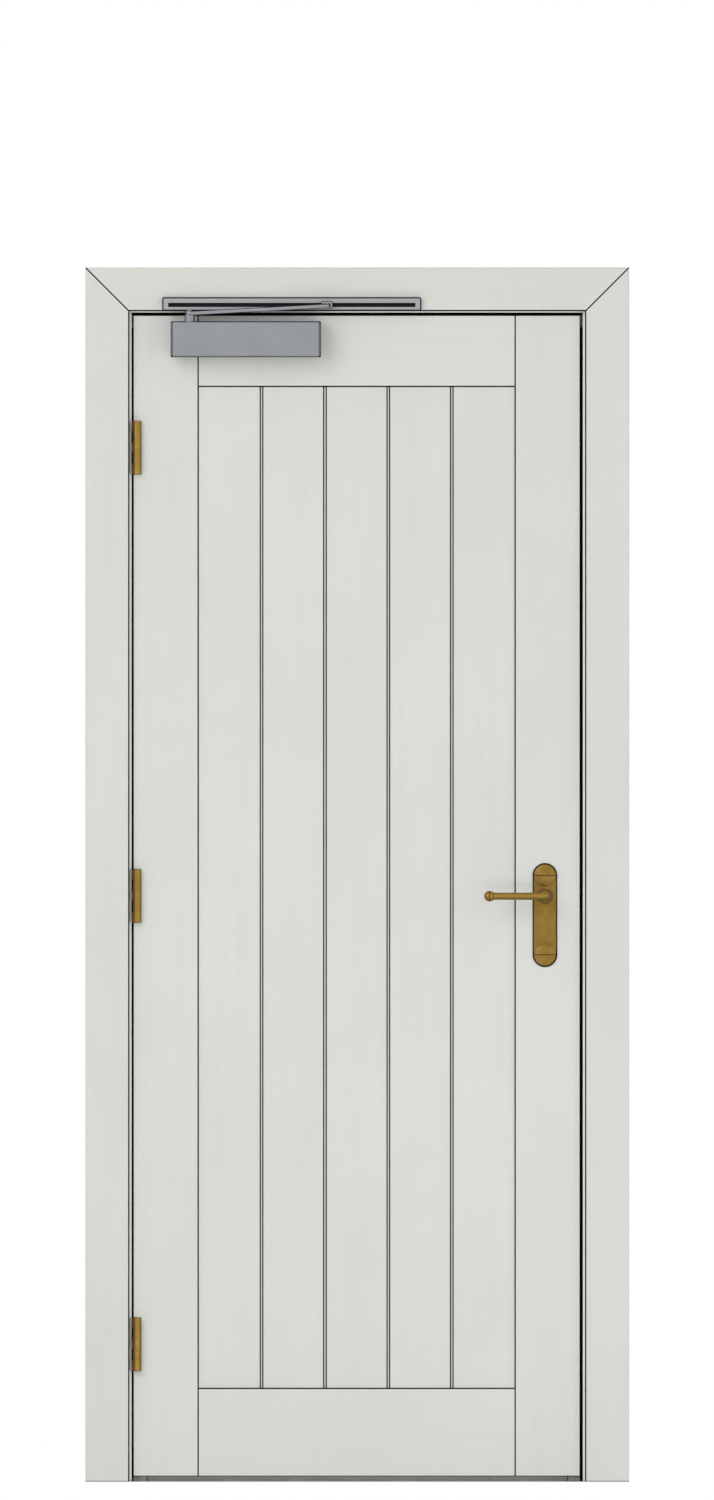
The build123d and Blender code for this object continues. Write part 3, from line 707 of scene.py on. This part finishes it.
# Painted contact shade round the track, on the architrave's head.
track_contact_shade = contact_shade_line(track_outline, TRACK_CORNER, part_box("front_architrave_head")[0].y, CONTACT)
for face in ("front", "back"):
    head_low, head_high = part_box(f"{face}_architrave_head")
    proud = head_low.y if face == "front" else head_high.y
    mitres = [seam_mitre((head_low.x, head_high.z), -1, head_low.z, JOINT),
              seam_mitre((head_high.x, head_high.z), 1, head_low.z, JOINT)]
    for side, run in (("left", "Z"), ("right", "Z"), ("head", "X")):
        name = f"{face}_architrave_{side}"
        # Painted shade along the inner arris, and at the feet or round the track.
        inner_edge_shade = arris_line(*casing_shade_lines[side], proud, JOINT, ARCHITRAVE_ARRIS)
        shade_lines = [track_contact_shade] if name == "front_architrave_head" else floor_shade
        dress(name, painted_timber(name, FRAME_PAINT, run, mitres + shade_lines + [inner_edge_shade]))


# Metalwork
ARM_HUB = 6.5 * MM
ARM_EYE = 5.0 * MM
ARM_THICKNESS = 7.0 * MM
CAP_LENGTH = 9.8 * MM
SLOT_HALF = 2.8 * MM
SLOT_RISE = 9.8 * MM
SLOT_LIP = 0.9 * MM
SLOT_LIP_DARK = 0.6 * MM
TRACK_WALL = 1.2 * MM
TRACK_RIM = 1.4 * MM
TRACK_FOOT_LINE = 2.3 * MM
CAP_LINE = 0.9 * MM
SILL_FOOT_LINE = 0.8 * MM
SLOT_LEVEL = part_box("closer_track")[0].z + SLOT_RISE


def flap_end(paint):
    """1 on the end of a frame flap that shows on the lining's front edge, under the frame's paint."""
    beside_gap = paint.x.ramp(hinge_jamb_face - 0.1 * MM, hinge_jamb_face - 0.3 * MM)
    return beside_gap * paint.y.ramp(leaf_front + 0.8 * MM, leaf_front + 0.4 * MM)


def arm_arrises(paint):
    """1 along the upper and lower arris of the arm's front. Its middle rises in a straight line from
    the hub's flat to the eye's, and its front draws back from the hub's radius to the eye's."""
    low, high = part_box("closer_arm")
    start = low.x + 2 * ARM_HUB
    share = ((paint.x - start) * (1 / (high.x - 2 * ARM_EYE - start))).most(0.0).least(1.0)
    half = ARM_THICKNESS / 2
    middle = share * (high.z - low.z - ARM_THICKNESS) + (low.z + half)
    front = share * (ARM_HUB - ARM_EYE) + low.y
    from_middle = (paint.z - middle).absolute().ramp(half - 1.2 * MM, half - 0.8 * MM)
    return from_middle * (paint.y - front).ramp(1.0 * MM, 0.6 * MM)


def slot_edges(paint):
    """1 on the lips beside the track's slot, and round the ends of the slot."""
    caps_low, caps_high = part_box("track_end_caps")
    beside = (paint.z - SLOT_LEVEL).absolute().ramp(SLOT_HALF + SLOT_LIP, SLOT_HALF + SLOT_LIP_DARK)
    middle = (caps_low.x + caps_high.x) / 2
    run = (caps_high.x - caps_low.x) / 2 - CAP_LENGTH
    along = (paint.x - middle).absolute().ramp(run + SLOT_LIP, run + SLOT_LIP_DARK)
    return beside * along * on_face(paint, caps_low.y)


brass_upright = satin_brass("brass_upright", (1, 1, 0.04))
brass_level = satin_brass("brass_level", (0.04, 1, 1), BRASS_PAINTED_LIGHTER)
brass_hinge = satin_brass("brass_hinge", (1, 1, 0.04), BRASS_PAINTED_LIGHTER)
brass_let_in = satin_brass("brass_let_in", (1, 1, 0.04), BRASS_PAINTED_LIGHTER, flap_end)
for place in HINGE_PLACES:
    dress(f"hinge_{place}_frame_flap", brass_let_in)
    dress(f"hinge_{place}_leaf_flap", brass_hinge)
dress("hinge_pins", brass_hinge)
for name in ("strike_plate", "latch_forend", "latch_bolt"):
    dress(name, brass_upright)

END_CAP = 1.8 * MM
RIM = 1.1 * MM
closer_ends = [dark_line_across("x", closer_low.x + END_CAP, CAP_LINE, 0.9),
               dark_line_across("x", closer_high.x - END_CAP, CAP_LINE, 0.9)]
closer_rim = rim_line((closer_low, closer_high), CLOSER_CORNER, closer_low.y, RIM)
dress("closer_body", silver_paint("silver_enamel", closer_ends + [closer_rim]))
slider_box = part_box("track_slider")
slider_rim = rim_line(slider_box, SMALL_CORNER, slider_box[0].y, RIM)
dress("track_slider", silver_paint("slider_enamel", [slider_rim]))
dress("closer_arm", silver_paint("arm_enamel", [arm_arrises]))
steel = turned_steel("turned_steel")
for name in ("closer_spindle", "lever_spindle"):
    dress(name, steel)
track_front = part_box("closer_track")[0].y
track_lines = [rim_line(track_outline, TRACK_CORNER, track_front, TRACK_RIM), slot_edges,
               arris_line("z", track_outline[0].z, track_front, TRACK_FOOT_LINE)]
# Painted shade inside the track's channel.
track_inside_shade = inside_channel("closer_track", TRACK_WALL, track_front + TRACK_WALL)
dress("closer_track", drawn_aluminium("drawn_track", ANODISED, track_lines + [track_inside_shade]))
dress("track_end_caps", drawn_aluminium("drawn_caps", ANODISED, track_lines))
sill_low, sill_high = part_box("threshold_bar")
# Painted shade: dark lines where the stops' feet meet the bar's ends, and along its foot on the floor.
sill_shade_lines = [dark_line_across("x", sill_low.x, CONTACT), dark_line_across("x", sill_high.x, CONTACT),
              dark_line_across("z", sill_low.z, SILL_FOOT_LINE, 0.6)]
dress("threshold_bar", drawn_aluminium("drawn_threshold", THRESHOLD_METAL, sill_shade_lines))
dress("fire_seals", seal_strip("intumescent"))

for side, word in ((-1, "front"), (1, "back")):
    make_piece(f"{word}_plate_and_domes", backplate(side), brass_upright, "leaf",
               [f"{word}_backplate"])
    make_piece(f"{word}_turned_lever", lever(side), brass_level, "lever", [f"{word}_lever"])

frame_screws, leaf_screws = [], []
for place in HINGE_PLACES:
    in_jamb = hinge_screw_places(f"hinge_{place}_frame_flap", hinge_jamb_face)
    in_leaf = hinge_screw_places(f"hinge_{place}_leaf_flap", leaf_left)
    frame_screws += slotted_screws(in_jamb, (1, 0, 0))
    leaf_screws += slotted_screws(in_leaf, (-1, 0, 0), turn_seed=1.3)
keep_screws = [(lock_jamb_face, leaf_mid, spindle_z + end * KEEP_SCREW_REACH) for end in (-1, 1)]
frame_screws += slotted_screws(keep_screws, (-1, 0, 0), SMALL_HEAD)
edge_out = np.array([leaf_back - leaf_front, LOCK_EDGE_BEVEL, 0])
edge_out = edge_out / np.linalg.norm(edge_out)
forend_screws = [(leaf_right - LOCK_EDGE_BEVEL / 2, leaf_mid, spindle_z + end * FOREND_SCREW_REACH)
                 for end in (-1, 1)]
leaf_screws += slotted_screws(forend_screws, edge_out, SMALL_HEAD)
make_piece("frame_screws", frame_screws, brass_upright, "frame")
make_piece("leaf_screws", leaf_screws, brass_upright, "leaf")

sill_middle = (sill_low.y + sill_high.y) / 2
sill_places = [(sill_low.x + share * (sill_high.x - sill_low.x), sill_middle, sill_high.z)
               for share in (0.06, 0.28, 0.5, 0.72, 0.94)]
sill_screws = slotted_screws(sill_places, (0, 0, 1), SILL_HEAD)
make_piece("threshold_screws", sill_screws, steel, "frame")

spindle_low, spindle_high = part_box("closer_spindle")
arm_screw_place = ((spindle_low.x + spindle_high.x) / 2, (spindle_low.y + spindle_high.y) / 2, spindle_high.z)
arm_screw = turned(rounded_cap(4.2, 2.4, 2.1, 1.4), sides=48).placed(arm_screw_place, (1, 0, 0), (0, 0, 1))
make_piece("arm_screw", [arm_screw], steel, "arm")

timber_nodes = ["hinge_stile", "lock_stile", "top_rail", "bottom_rail", "jamb_hinge_side", "jamb_lock_side",
                "head_lining", "stop_hinge_side", "stop_lock_side", "stop_head"]
for name in timber_nodes:
    ease(name, 0.5 * MM)
for name in ("closer_track", "track_end_caps", "closer_arm"):
    ease(name, 0.3 * MM)


# Studio
def seen_directly(tree):
    """1 where the camera, gloss or glass sees a surface, 0 where it only gives light."""
    path = tree.nodes.new("ShaderNodeLightPath")
    total = path.outputs["Is Camera Ray"]
    for kind in ("Is Glossy Ray", "Is Transmission Ray"):
        added = tree.nodes.new("ShaderNodeMath")
        added.operation = "ADD"
        added.use_clamp = True
        tree.links.new(total, added.inputs[0])
        tree.links.new(path.outputs[kind], added.inputs[1])
        total = added.outputs[0]
    return total


def stage_floor():
    """A wide pale floor at the foot of the door, which fades into the white room away from it."""
    reach = 14.0
    mesh = bpy.data.meshes.new("floor")
    middle = (cad_box[0][0] + cad_box[1][0]) / 2
    corners = [(middle - reach, -reach, 0), (middle + reach, -reach, 0),
               (middle + reach, reach, 0), (middle - reach, reach, 0)]
    mesh.from_pydata(corners, [], [(0, 1, 2, 3)])
    floor = bpy.data.objects.new("floor", mesh)
    bpy.context.scene.collection.objects.link(floor)
    paint = Paint("floor_paint")
    speck = paint.noise(paint.place, 60, detail=3)
    body = paint.blend(speck, (0.84, 0.84, 0.84, 1), (0.88, 0.88, 0.88, 1))
    mesh.materials.append(paint.finish(body, 0.8 + speck * 0.05, speck, depth=0.1 * MM))
    away = paint.x - middle
    distance = (away * away + paint.y * paint.y).root()
    fading = distance.ramp(0.7, 2.4) * Wire(paint, seen_directly(paint.tree))
    white = paint.node("ShaderNodeEmission", inputs={"Color": (1, 1, 1, 1), "Strength": 1.0})
    lit = Wire(paint, paint.shader.outputs[0])
    mixed = paint.node("ShaderNodeMixShader", inputs={0: fading, 1: lit, 2: white})
    paint.tree.links.new(mixed.socket, paint.tree.nodes["Material Output"].inputs["Surface"])


def studio_world(level):
    """A white room: strength 1 where the camera, gloss or glass sees it, and level where it lights."""
    world = bpy.data.worlds.new("studio")
    bpy.context.scene.world = world
    world.use_nodes = True
    tree = world.node_tree
    tree.nodes.clear()
    strength = tree.nodes.new("ShaderNodeMapRange")
    strength.inputs["To Min"].default_value = level
    strength.inputs["To Max"].default_value = 1.0
    background = tree.nodes.new("ShaderNodeBackground")
    background.inputs["Color"].default_value = (1, 1, 1, 1)
    output = tree.nodes.new("ShaderNodeOutputWorld")
    tree.links.new(seen_directly(tree), strength.inputs["Value"])
    tree.links.new(strength.outputs["Result"], background.inputs["Strength"])
    tree.links.new(background.outputs[0], output.inputs["Surface"])


def soft_lamp(name, place, target, width, height, watts):
    """A large lamp that faces its target and is itself never in the picture."""
    light = bpy.data.lights.new(name, "AREA")
    light.shape = "RECTANGLE"
    light.size = width
    light.size_y = height
    light.energy = watts
    lamp = bpy.data.objects.new(name, light)
    bpy.context.scene.collection.objects.link(lamp)
    lamp.location = place
    lamp.rotation_euler = (Vector(target) - Vector(place)).to_track_quat("-Z", "Y").to_euler()
    lamp.visible_camera = False


stage_floor()
studio_world(0.56)
middle_x = (cad_box[0][0] + cad_box[1][0]) / 2
centre = (middle_x, 0.0, 0.95)
soft_lamp("key", (middle_x - 2.2, -3.6, 3.0), centre, 2.6, 2.6, 58)
soft_lamp("fill", (middle_x + 3.0, -3.0, 1.6), centre, 2.6, 2.6, 25)
soft_lamp("low", (middle_x, -2.5, 0.18), (middle_x, 0.0, 0.05), 2.2, 0.3, 6)
soft_lamp("rear", (middle_x + 1.8, 3.4, 3.0), centre, 2.4, 2.4, 72)

PHOTO_ROWS = 1500
PIXEL = 1.7065 * MM
camera_data = bpy.data.cameras.new("elevation")
camera_data.type = "ORTHO"
camera_data.ortho_scale = PHOTO_ROWS * PIXEL
camera = bpy.data.objects.new("elevation", camera_data)
bpy.context.scene.collection.objects.link(camera)
camera.location = (0.4166, -6.0, 1.2485)
camera.rotation_euler = (math.radians(90), 0, 0)
bpy.context.scene.camera = camera
bpy.context.scene.view_settings.view_transform = "Standard"
